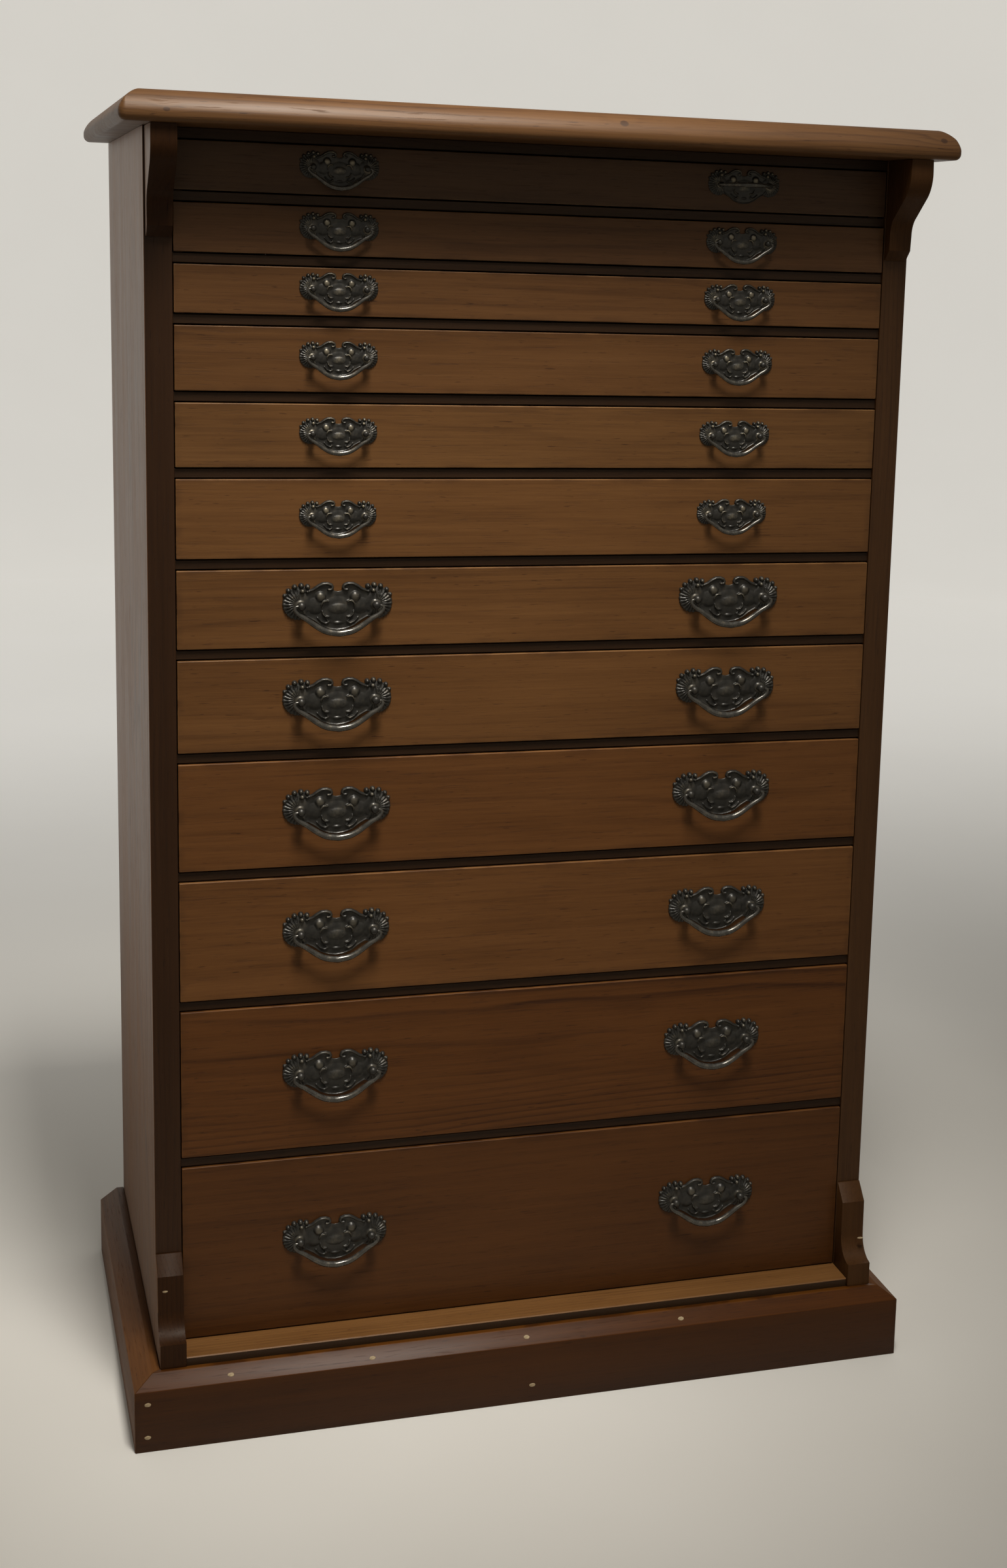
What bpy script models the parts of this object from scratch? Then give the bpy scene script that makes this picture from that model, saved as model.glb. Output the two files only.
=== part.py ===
"""Tall pine cabinet of twelve graduated flat drawers with cast drop handles.

Metres, +Z up. The front faces -Y and +X is to the right seen from the front. The origin
is on the floor, under the centre of the cabinet's bounding box.
"""
import math

import bmesh
import bpy
import mathutils

GAP = 0.0003                    # left between pieces that touch or rest on each other

# Top board, with a moulded edge on the front and both sides
TOP_WIDTH = 0.850
TOP_DEPTH = 0.497
TOP_THICKNESS = 0.030
HEIGHT = 1.366
TOP_NOSE_RADIUS = 0.0205
TOP_UNDERCUT_RADIUS = 0.0065

# Case
CASE_WIDTH = 0.796
CASE_DEPTH = 0.429
SIDE_THICKNESS = 0.027          # also the width of the stiles
STILE_DEPTH = 0.020
STILE_ARRIS = 0.0015
BACK_THICKNESS = 0.008
RAIL_HEIGHT = 0.009
RAIL_DEPTH = 0.050
RAIL_RECESS = 0.003             # rails stand back from the stiles' faces
RUNNER_WIDTH = 0.020
SILL_TOP = 0.0895
BASE_THICKNESS = 0.016
SILL_PROJECTION = 0.039
CLEAT_HEIGHT = 0.018

# Plinth, mitred round the front and both sides
PLINTH_HEIGHT = 0.081
PLINTH_FRONT = 0.060            # how far it stands out of the case's front
PLINTH_SIDE = 0.028             # and of the case's sides
PLINTH_BOARD = 0.020
PLINTH_CHAMFER = 0.014

# Drawers, listed from the top one down
FRONT_HEIGHTS = [0.0465] * 3 + [0.063] * 2 + [0.079] * 2 + [0.094, 0.1115, 0.126, 0.158, 0.1905]
FRONT_WIDTH = 0.740
FRONT_THICKNESS = 0.018
FRONT_ARRIS = 0.0008
FRONT_CLEARANCE = 0.0014        # above and below each drawer front
BOX_WIDTH = 0.738
BOX_SIDE = 0.010
BOX_BACK = 0.009
BOX_BOTTOM = 0.005
BOX_BOTTOM_RISE = 0.004         # the bottom panel sits this far above the sides' lower edges
BOX_TOP_DROP = 0.003            # the box is this much lower than its front's top edge

# Handles. Sizes are the large handle's, in millimetres from its pivot; small ones are scaled.
HANDLE_X = 0.210
SMALL_HANDLE_DRAWERS = 6        # the upper six drawers carry small handles
SMALL_SCALE = 0.70
MM = 0.001
PIVOT_RISE = 4.0                # pivot above the drawer front's middle
PIVOT_OUT = 12.0                # pivot in front of the drawer front
POST_SPACING = 38.0             # from the handle's middle to each post
POST_RADIUS = 4.2
POST_LENGTH = 15.5
PLATE_THICKNESS = 3.0
BORE_RADIUS = 1.9
BORE_REACH = 8.0
PLATE_HALF = [
    (0.0, 13.5), (4.0, 14.2), (5.0, 21.2), (12.0, 23.2), (27.0, 14.7), (38.0, 20.2), (49.0, 16.2),
    (56.5, 1.7), (51.0, -12.3), (39.0, -15.8), (30.0, -12.8), (16.0, -20.8), (0.0, -24.3),
]
# Half of the bail, from its end inside a post to its lowest point: across, down, radius
BAIL_HALF = [
    (35.2, 0.0, 1.2), (42.0, 0.0, 1.2), (44.0, -0.7, 1.4), (44.8, -2.6, 1.6), (44.2, -5.4, 1.8),
    (40.4, -8.8, 2.1), (33.5, -12.8, 2.3), (22.5, -21.0, 2.5), (12.5, -26.4, 2.7), (0.0, -28.5, 2.8),
]
RAISED_BAIL = (1, "right")      # stored lifted out level; every other bail hangs

CASE_FRONT = TOP_DEPTH / 2 - CASE_DEPTH
CASE_BACK = TOP_DEPTH / 2
CASE_HALF = CASE_WIDTH / 2
OPENING_HALF = CASE_HALF - SIDE_THICKNESS
UNDERSIDE = HEIGHT - TOP_THICKNESS
CASE_TOP = UNDERSIDE - GAP
DRAWER_PITCH_GAP = RAIL_HEIGHT + 2 * FRONT_CLEARANCE

# Corbels and foot brackets
CORBEL_INSET = 0.002            # the corbels stop short of the case's sides
CORBEL_BOTTOM = 1.2325
FOOT_TOP = 0.190

PINE = (0.36, 0.19, 0.085)
DARK_PINE = (0.25, 0.125, 0.055)
TRAY_PINE = (0.55, 0.38, 0.21)
BRONZE = (0.06, 0.055, 0.045)


def clear_scene():
    for item in list(bpy.data.objects):
        bpy.data.objects.remove(item, do_unlink=True)


def new_collection(name):
    collection = bpy.data.collections.new(name)
    bpy.context.scene.collection.children.link(collection)
    return collection


def principled(name, colour, roughness, metallic=0.0):
    material = bpy.data.materials.new(name)
    material.use_nodes = True
    shader = material.node_tree.nodes["Principled BSDF"]
    shader.inputs["Base Color"].default_value = (*colour, 1.0)
    shader.inputs["Roughness"].default_value = roughness
    shader.inputs["Metallic"].default_value = metallic
    return material


def add_box(bm, low, high):
    """Add one box between two corners and return its vertices."""
    verts = bmesh.ops.create_cube(bm, size=1.0)["verts"]
    for vert in verts:
        vert.co = [low[i] + (vert.co[i] + 0.5) * (high[i] - low[i]) for i in range(3)]
    return verts


def object_from_bmesh(name, bm, collection, material=None):
    bm.normal_update()
    bmesh.ops.recalc_face_normals(bm, faces=bm.faces)
    mesh = bpy.data.meshes.new(name)
    bm.to_mesh(mesh)
    bm.free()
    item = bpy.data.objects.new(name, mesh)
    collection.objects.link(item)
    if material:
        mesh.materials.append(material)
    return item


def box_object(name, low, high, collection, material):
    bm = bmesh.new()
    add_box(bm, low, high)
    return object_from_bmesh(name, bm, collection, material)


def as_helper(item):
    """Mark an operand of a Boolean modifier, which is not a piece of the cabinet."""
    item.hide_render = True
    item.display_type = "WIRE"
    return item


def helper_boxes(name, boxes, helpers):
    bm = bmesh.new()
    for low, high in boxes:
        add_box(bm, low, high)
    return as_helper(object_from_bmesh(name, bm, helpers))


def boolean(item, helper, operation):
    modifier = item.modifiers.new(operation.lower() + "_" + helper.name, "BOOLEAN")
    modifier.operation = operation
    modifier.object = helper


def bevel_edges(bm, is_chosen, width, segments):
    edges = [edge for edge in bm.edges if is_chosen(edge)]
    bmesh.ops.bevel(bm, geom=edges, offset=width, segments=segments, profile=0.5, affect="EDGES")


def midpoint(edge):
    return (edge.verts[0].co + edge.verts[1].co) / 2


def outline_object(name, outlines, thickness, collection, material=None):
    """Closed flat shapes from (x, y) outlines, thick along local Z, as one welded mesh."""
    curve = bpy.data.curves.new(name + "_outline", "CURVE")
    curve.dimensions = "2D"
    curve.fill_mode = "BOTH"
    curve.extrude = thickness / 2
    for outline in outlines:
        spline = curve.splines.new("POLY")
        spline.points.add(len(outline) - 1)
        for point, (x, y) in zip(spline.points, outline):
            point.co = (x, y, 0.0, 1.0)
        spline.use_cyclic_u = True
    drawn = bpy.data.objects.new(name + "_outline", curve)
    collection.objects.link(drawn)
    evaluated = drawn.evaluated_get(bpy.context.evaluated_depsgraph_get())
    flat = bpy.data.meshes.new_from_object(evaluated)
    bpy.data.objects.remove(drawn)
    bm = bmesh.new()
    bm.from_mesh(flat)
    bpy.data.meshes.remove(flat)
    bmesh.ops.remove_doubles(bm, verts=bm.verts, dist=1e-6)
    return object_from_bmesh(name, bm, collection, material)


def arc(centre, radii, start, end, steps):
    """Points on an ellipse's arc, angles in degrees."""
    points = []
    for i in range(steps + 1):
        angle = math.radians(start + (end - start) * i / steps)
        points.append((centre[0] + radii[0] * math.cos(angle), centre[1] + radii[1] * math.sin(angle)))
    return points


def front_levels():
    """Lowest and highest Z of each drawer front, from the top drawer down."""
    levels = []
    low = SILL_TOP + FRONT_CLEARANCE
    for height in reversed(FRONT_HEIGHTS):
        levels.append((low, low + height))
        low += height + DRAWER_PITCH_GAP
    return levels[::-1]


def rail_levels():
    """Lowest and highest Z of the rail under each drawer but the last, and of the top rail."""
    undersides = [low - FRONT_CLEARANCE for low, _ in front_levels()[:-1]]
    levels = [(top - RAIL_HEIGHT, top) for top in undersides]
    top_rail = (front_levels()[0][1] + FRONT_CLEARANCE, CASE_TOP)
    return levels, top_rail


def make_top_board(parts, material):
    bm = bmesh.new()
    half = TOP_WIDTH / 2
    add_box(bm, (-half, -TOP_DEPTH / 2, UNDERSIDE), (half, TOP_DEPTH / 2, HEIGHT))

    def is_shown_edge(edge, level):
        middle = midpoint(edge)
        return abs(middle.z - level) < 1e-5 and middle.y < TOP_DEPTH / 2 - 1e-4

    bevel_edges(bm, lambda edge: is_shown_edge(edge, HEIGHT), TOP_NOSE_RADIUS, 5)
    bevel_edges(bm, lambda edge: is_outer_bottom(edge, half), TOP_UNDERCUT_RADIUS, 2)
    return object_from_bmesh("top_board", bm, parts, material)


def is_outer_bottom(edge, half):
    """True for the top board's lower edges at the front and the two sides."""
    middle = midpoint(edge)
    if abs(middle.z - UNDERSIDE) > 1e-5:
        return False
    at_front = abs(middle.y + TOP_DEPTH / 2) < 1e-5
    at_side = abs(abs(middle.x) - half) < 1e-5
    return at_front or at_side


def make_side(name, side, parts, helpers, material):
    """A side board with the runners for eleven drawers and the cleat under the base board."""
    inner, outer = OPENING_HALF, CASE_HALF
    back_of_stile = CASE_FRONT + STILE_DEPTH + GAP
    corners = mirrored((inner, back_of_stile, 0.0), (outer, CASE_BACK, CASE_TOP), side)
    board = box_object(name, *corners, parts, material)
    front = CASE_FRONT + RAIL_DEPTH + GAP
    back = CASE_BACK - BACK_THICKNESS - GAP
    strips = [(low, high, front) for low, high in rail_levels()[0]]
    base_bottom = SILL_TOP - BASE_THICKNESS
    strips.append((base_bottom - GAP - CLEAT_HEIGHT, base_bottom - GAP, back_of_stile))
    boxes = [mirrored((inner - RUNNER_WIDTH, y, low), (inner + 0.002, back, high), side)
             for low, high, y in strips]
    boolean(board, helper_boxes(name + "_runners", boxes, helpers), "UNION")
    return board


def mirrored(low, high, side):
    """The box on the right side (side = 1) or its mirror image on the left (side = -1)."""
    if side > 0:
        return low, high
    return (-high[0], low[1], low[2]), (-low[0], high[1], high[2])


def make_face_frame(parts, helpers, material):
    """Two stiles joined by the top rail and the eleven rails between drawers."""
    bm = bmesh.new()
    back = CASE_FRONT + STILE_DEPTH
    add_box(bm, (-CASE_HALF, CASE_FRONT, 0.0), (-OPENING_HALF, back, CASE_TOP))
    add_box(bm, (OPENING_HALF, CASE_FRONT, 0.0), (CASE_HALF, back, CASE_TOP))

    def is_outer_arris(edge):
        middle = midpoint(edge)
        return abs(abs(middle.x) - CASE_HALF) < 1e-5 and abs(middle.y - CASE_FRONT) < 1e-5

    bevel_edges(bm, is_outer_arris, STILE_ARRIS, 2)
    frame = object_from_bmesh("face_frame", bm, parts, material)
    between, top_rail = rail_levels()
    front = CASE_FRONT + RAIL_RECESS
    tenon = OPENING_HALF + 0.008
    boxes = [((-tenon, front, low), (tenon, back, high)) for low, high in between + [top_rail]]
    boolean(frame, helper_boxes("frame_rails", boxes, helpers), "UNION")
    deep = CASE_FRONT + RAIL_DEPTH
    width = OPENING_HALF - GAP
    boxes = [((-width, back - 0.001, low), (width, deep, high)) for low, high in between + [top_rail]]
    boolean(frame, helper_boxes("frame_rail_backs", boxes, helpers), "UNION")
    return frame


def make_base(parts, pine, dark):
    width = OPENING_HALF - GAP
    bottom = SILL_TOP - BASE_THICKNESS
    joint = CASE_FRONT + STILE_DEPTH
    bm = bmesh.new()
    add_box(bm, (-width, CASE_FRONT - SILL_PROJECTION, bottom), (width, joint, SILL_TOP))

    def is_front_top(edge):
        middle = midpoint(edge)
        return middle.y < CASE_FRONT - SILL_PROJECTION + 1e-5 and middle.z > SILL_TOP - 1e-5

    bevel_edges(bm, is_front_top, 0.001, 1)
    object_from_bmesh("front_sill", bm, parts, dark)
    inside_back = CASE_BACK - BACK_THICKNESS
    box_object("base_board", (-width, joint + GAP, bottom), (width, inside_back - GAP, SILL_TOP), parts, pine)
    box_object("back_panel", (-width, inside_back, 0.0), (width, CASE_BACK, CASE_TOP), parts, pine)


def make_plinth(parts, helpers, material):
    bm = bmesh.new()
    half = CASE_HALF + PLINTH_SIDE
    front = CASE_FRONT - PLINTH_FRONT
    add_box(bm, (-half, front, 0.0), (half, CASE_BACK, PLINTH_HEIGHT))

    def is_outer_top(edge):
        middle = midpoint(edge)
        return middle.z > PLINTH_HEIGHT - 1e-5 and middle.y < CASE_BACK - 1e-4

    bevel_edges(bm, is_outer_top, PLINTH_CHAMFER, 1)
    plinth = object_from_bmesh("plinth", bm, parts, material)
    inner = CASE_HALF + GAP
    hollow = [((-inner, front + PLINTH_BOARD, -0.01), (inner, CASE_BACK + 0.01, PLINTH_HEIGHT + 0.01))]
    boolean(plinth, helper_boxes("plinth_hollow", hollow, helpers), "DIFFERENCE")
    return plinth


def corbel_outline():
    """Ogee bracket under the top board: distance out of the case's front, and height."""
    points = [(0.0, CORBEL_BOTTOM), (0.0, CASE_TOP), (0.060, CASE_TOP)]
    points += arc((0.028, 1.322), (0.032, 0.032), 0, -55, 5)
    points += arc((0.035, 1.259), (0.022, 0.022), 125, 180, 4)
    points += [(0.0125, 1.243), (0.002, CORBEL_BOTTOM)]
    return points


def foot_outline():
    """Bracket that stands on the plinth: distance out of the case's front, and height."""
    bottom = PLINTH_HEIGHT + GAP
    points = [(0.0, FOOT_TOP), (0.0, bottom), (0.042, bottom)]
    points += arc((0.042, 0.133), (0.024, 0.026), -90, -180, 5)
    points += [(0.018, 0.172), (0.0015, FOOT_TOP)]
    return points


def make_bracket(name, outline, low, high, side, parts, material):
    """A sawn bracket on a stile's face. low and high are its sides' distances from the middle."""
    flat = [(-out, z) for out, z in outline]
    item = outline_object(name, [flat], high - low, parts, material)
    item.rotation_euler = (math.pi / 2, 0.0, math.pi / 2)
    item.location = (side * (low + high) / 2, CASE_FRONT - GAP, 0.0)
    return item


def handle_scale(number):
    return (SMALL_SCALE if number <= SMALL_HANDLE_DRAWERS else 1.0) * MM


def pivot_height(number, low, high):
    return (low + high) / 2 + PIVOT_RISE * handle_scale(number)


def post_positions(scale):
    """X of the four posts on a drawer front."""
    return [side * HANDLE_X + end * POST_SPACING * scale for side in (-1, 1) for end in (-1, 1)]


def plate_outline(centre_x, pivot_z, scale):
    right = PLATE_HALF
    left = [(-x, z) for x, z in PLATE_HALF[-2:0:-1]]
    return [(centre_x + x * scale, pivot_z + z * scale) for x, z in right + left]


def cylinder_along(bm, axis, start, end, radius, sides):
    """A capped prism along X or Y, a flat side up, between points that differ only on that axis."""
    length = abs(end[axis] - start[axis])
    made = bmesh.ops.create_cone(bm, cap_ends=True, segments=sides, radius1=radius, radius2=radius,
                                 depth=length)
    middle = [(a + b) / 2 for a, b in zip(start, end)]
    half_turn = mathutils.Matrix.Rotation(math.pi / sides, 3, "Z")
    for vert in made["verts"]:
        x, y, z = half_turn @ vert.co
        turned = (z, x, y) if axis == 0 else (y, z, x)
        vert.co = [m + t for m, t in zip(middle, turned)]


def make_drawer_front(number, low, high, parts, helpers, material):
    """A drawer front board with its two cast plates and their four bored posts."""
    scale = handle_scale(number)
    pivot_z = pivot_height(number, low, high)
    name = f"drawer_front_{number:02d}"
    bm = bmesh.new()
    half = FRONT_WIDTH / 2
    add_box(bm, (-half, CASE_FRONT, low), (half, CASE_FRONT + FRONT_THICKNESS, high))
    bevel_edges(bm, lambda edge: midpoint(edge).y < CASE_FRONT + 1e-5, FRONT_ARRIS, 1)
    front = object_from_bmesh(name, bm, parts, material)

    thickness = PLATE_THICKNESS * scale
    outlines = [plate_outline(side * HANDLE_X, pivot_z, scale) for side in (-1, 1)]
    plates = as_helper(outline_object(name + "_plates", outlines, 2 * thickness, helpers))
    plates.rotation_euler = (math.pi / 2, 0.0, 0.0)
    plates.location = (0.0, CASE_FRONT, 0.0)
    boolean(front, plates, "UNION")

    bm = bmesh.new()
    for x in post_positions(scale):
        root = (x, CASE_FRONT + 0.002, pivot_z)
        tip = (x, CASE_FRONT - POST_LENGTH * scale, pivot_z)
        cylinder_along(bm, 1, root, tip, POST_RADIUS * scale, 8)
    boolean(front, as_helper(object_from_bmesh(name + "_posts", bm, helpers)), "UNION")

    bm = bmesh.new()
    pivot_y = CASE_FRONT - PIVOT_OUT * scale
    reach = BORE_REACH * scale
    for x in post_positions(scale):
        start, end = (x - reach, pivot_y, pivot_z), (x + reach, pivot_y, pivot_z)
        cylinder_along(bm, 0, start, end, BORE_RADIUS * scale, 6)
    boolean(front, as_helper(object_from_bmesh(name + "_bores", bm, helpers)), "DIFFERENCE")
    return front


def make_drawer_box(number, low, high, parts, helpers, material):
    """Sides, back and bottom of a drawer, open towards its front board."""
    name = f"drawer_box_{number:02d}"
    half = BOX_WIDTH / 2
    front = CASE_FRONT + FRONT_THICKNESS + GAP
    back = CASE_BACK - BACK_THICKNESS - 0.008
    bottom = low - FRONT_CLEARANCE + GAP
    top = high - BOX_TOP_DROP
    panel = bottom + BOX_BOTTOM_RISE
    box = box_object(name, (-half, front, bottom), (half, back, top), parts, material)
    inner = half - BOX_SIDE
    hollow = ((-inner, front - 0.01, panel + BOX_BOTTOM), (inner, back - BOX_BACK, top + 0.01))
    recess = ((-inner, front - 0.01, bottom - 0.01), (inner, back - BOX_BACK, panel))
    boolean(box, helper_boxes(name + "_hollows", [hollow, recess], helpers), "DIFFERENCE")
    return box


def make_bail(number, side_name, pivot_z, parts, material):
    """The swan-neck handle of one plate. Its origin is on its pivots' axis."""
    scale = handle_scale(number)
    curve = bpy.data.curves.new(f"bail_{number:02d}_{side_name}", "CURVE")
    curve.dimensions = "3D"
    curve.bevel_depth = MM
    curve.bevel_resolution = 1
    curve.render_resolution_u = 0
    curve.use_fill_caps = True
    path = [(-x, z, radius) for x, z, radius in BAIL_HALF] + BAIL_HALF[-2::-1]
    spline = curve.splines.new("POLY")
    spline.points.add(len(path) - 1)
    for point, (x, z, radius) in zip(spline.points, path):
        point.co = (x * scale, 0.0, z * scale, 1.0)
        point.radius = radius * scale / MM
    bail = bpy.data.objects.new(curve.name, curve)
    parts.objects.link(bail)
    curve.materials.append(material)
    side = -1 if side_name == "left" else 1
    bail.location = (side * HANDLE_X, CASE_FRONT - PIVOT_OUT * scale, pivot_z)
    if (number, side_name) == RAISED_BAIL:
        bail.rotation_euler = (-math.pi / 2, 0.0, 0.0)
    return bail


def carried_by(pieces, empty):
    """Parent pieces to an empty without moving them."""
    bpy.context.view_layer.update()
    for piece in pieces:
        piece.parent = empty
        piece.matrix_parent_inverse = empty.matrix_world.inverted()


def make_drawers(parts, helpers):
    front_pine = principled("drawer_pine", PINE, 0.42)
    tray_pine = principled("tray_pine", TRAY_PINE, 0.7)
    bronze = principled("bronze", BRONZE, 0.38, 0.9)
    for number, (low, high) in enumerate(front_levels(), start=1):
        front = make_drawer_front(number, low, high, parts, helpers, front_pine)
        box = make_drawer_box(number, low, high, parts, helpers, tray_pine)
        pivot_z = pivot_height(number, low, high)
        bails = [make_bail(number, side, pivot_z, parts, bronze) for side in ("left", "right")]
        slide = bpy.data.objects.new(f"drawer_{number:02d}_slide", None)
        slide.location = (0.0, CASE_FRONT, (low + high) / 2)
        parts.objects.link(slide)
        carried_by([front, box] + bails, slide)


def make_case(parts, helpers):
    pine = principled("case_pine", PINE, 0.4)
    dark = principled("frame_pine", DARK_PINE, 0.4)
    make_top_board(parts, principled("top_pine", PINE, 0.25))
    for name, side in (("left", -1), ("right", 1)):
        make_side(name + "_side", side, parts, helpers, pine)
        make_bracket("corbel_" + name, corbel_outline(), OPENING_HALF + GAP, CASE_HALF - CORBEL_INSET,
                     side, parts, dark)
        make_bracket("foot_bracket_" + name, foot_outline(), OPENING_HALF, CASE_HALF, side, parts, dark)
    make_face_frame(parts, helpers, dark)
    make_base(parts, pine, dark)
    make_plinth(parts, helpers, dark)


def main():
    clear_scene()
    parts = new_collection("flat_file_cabinet")
    helpers = new_collection("cutters")
    make_case(parts, helpers)
    make_drawers(parts, helpers)


main()
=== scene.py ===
"""The pine cabinet of twelve graduated drawers, dressed for a studio photograph.

Metres, +Z up, the front faces -Y. Every board, casting and bail is its own piece.
"""
import math

import bmesh
import bpy
import numpy as np
from mathutils import Matrix, Vector, noise


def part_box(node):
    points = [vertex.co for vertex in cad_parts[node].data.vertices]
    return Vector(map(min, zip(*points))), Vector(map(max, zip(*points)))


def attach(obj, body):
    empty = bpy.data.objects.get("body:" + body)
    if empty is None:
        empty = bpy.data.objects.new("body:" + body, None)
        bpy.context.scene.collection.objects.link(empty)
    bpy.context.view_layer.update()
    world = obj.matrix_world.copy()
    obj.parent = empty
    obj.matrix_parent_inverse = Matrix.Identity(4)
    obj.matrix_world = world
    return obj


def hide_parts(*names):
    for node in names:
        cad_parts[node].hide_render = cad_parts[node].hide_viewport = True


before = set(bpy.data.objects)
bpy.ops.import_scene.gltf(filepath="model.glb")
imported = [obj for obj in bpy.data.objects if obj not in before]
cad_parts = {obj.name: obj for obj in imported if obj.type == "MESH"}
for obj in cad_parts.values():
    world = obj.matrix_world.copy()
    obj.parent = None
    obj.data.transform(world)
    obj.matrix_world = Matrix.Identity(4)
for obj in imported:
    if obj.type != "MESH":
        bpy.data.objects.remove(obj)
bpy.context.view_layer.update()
MM = 0.001

# ---------------------------------------------------------------- case dimensions, from the frame

DRAWERS = range(1, 13)
SMALL_HANDLE_DRAWERS = range(1, 7)
SMALL_SCALE = 0.70
HANDLE_X = 0.210
PIVOT_RISE = 4.0 * MM
PIVOT_OUT = 12.0 * MM
FRONT_THICKNESS = 18.0 * MM
RAIL_RECESS = 3.0 * MM
RAIL_DEPTH = 50.0 * MM
STILE_DEPTH = 20.0 * MM
STILE_WIDTH = 27.0 * MM
BOX_SIDE = 10.0 * MM
BOX_BACK = 9.0 * MM
BOX_BOTTOM = 5.0 * MM
BOX_RISE = 4.0 * MM
PIN_WIDE = 6.0 * MM              # half the width of a dovetail pin, inside and outside
PIN_NARROW = 3.6 * MM
PIN_INSET = 0.05 * MM            # the pins stop this far short of the drawer box's faces
POST_SPACING = 38.0              # millimetres from a handle's middle to each of its posts
GAP = 0.3 * MM                   # left between neighbouring pieces of the case
SEAM = 0.15 * MM                 # left inside a drawer's glued joints
FRONT_CLEARANCE = 1.4 * MM       # above and below each drawer front
RAIL_HEIGHT = 9.0 * MM
NUT_HALF = 4.2 * MM              # half the width of a square nut
NUT_THICKNESS = 2.6 * MM
BOLT_RADIUS = 1.9 * MM
BOLT_LENGTH = 5.0 * MM
PLINTH_BOARD = 20.0 * MM
PLINTH_CHAMFER = 14.0 * MM

FRAME_LOW, FRAME_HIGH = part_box("face_frame")
CASE_FRONT = FRAME_LOW.y
CASE_HALF = FRAME_HIGH.x
OPENING_HALF = CASE_HALF - STILE_WIDTH
CASE_TOP = FRAME_HIGH.z
RAISED_BAIL = (1, "right")


# ---------------------------------------------------------------- mesh helpers

def new_object(name, mesh, material=None):
    item = bpy.data.objects.new(name, mesh)
    bpy.context.scene.collection.objects.link(item)
    if material:
        mesh.materials.append(material)
    return item


def mesh_from_bmesh(name, bm):
    bm.normal_update()
    bmesh.ops.recalc_face_normals(bm, faces=bm.faces)
    mesh = bpy.data.meshes.new(name)
    bm.to_mesh(mesh)
    bm.free()
    return mesh


def smooth(item, angle):
    item.data.shade_smooth()
    item.data.set_sharp_from_angle(angle=math.radians(angle))


def finish_piece(item, body, replaces=()):
    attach(item, body)
    if replaces:
        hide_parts(*replaces)
    return item


def add_box(bm, low, high):
    verts = bmesh.ops.create_cube(bm, size=1.0)["verts"]
    for vert in verts:
        vert.co = [low[i] + (vert.co[i] + 0.5) * (high[i] - low[i]) for i in range(3)]


def add_prism(bm, outline, x_low, x_high):
    """A (y, z) outline, thick along X."""
    rings = [[bm.verts.new((x, y, z)) for y, z in outline] for x in (x_low, x_high)]
    bm.faces.new(rings[0])
    bm.faces.new(rings[1])
    count = len(outline)
    for i in range(count):
        j = (i + 1) % count
        bm.faces.new((rings[0][i], rings[0][j], rings[1][j], rings[1][i]))


def board(name, low, high, material, body, slot, arris=0.8 * MM, replaces=()):
    """A planed board with softened arrises."""
    bm = bmesh.new()
    add_box(bm, low, high)
    bmesh.ops.bevel(bm, geom=list(bm.edges), offset=arris, segments=3, profile=0.5, affect="EDGES")
    item = new_object(name, mesh_from_bmesh(name, bm), material)
    smooth(item, 50)
    weighted = item.modifiers.new("flat_faces", "WEIGHTED_NORMAL")
    weighted.keep_sharp = True
    return finish_piece(item, body, replaces)


def bevelled_prism(name, outline, x_low, x_high, arris, material, body, replaces=()):
    """A shape sawn out of a board, its sawn rims softened."""
    bm = bmesh.new()
    add_prism(bm, outline, x_low, x_high)
    rim = [edge for edge in bm.edges if abs(edge.verts[0].co.x - edge.verts[1].co.x) < 1e-6]
    bmesh.ops.bevel(bm, geom=rim, offset=arris, segments=2, profile=0.5, affect="EDGES", clamp_overlap=True)
    item = new_object(name, mesh_from_bmesh(name, bm), material)
    smooth(item, 32)
    return finish_piece(item, body, replaces)


def arc(centre, radius, start, end, steps):
    points = []
    for i in range(steps + 1):
        angle = math.radians(start + (end - start) * i / steps)
        points.append((centre[0] + radius[0] * math.cos(angle), centre[1] + radius[1] * math.sin(angle)))
    return points


# ---------------------------------------------------------------- shader helpers

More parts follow.
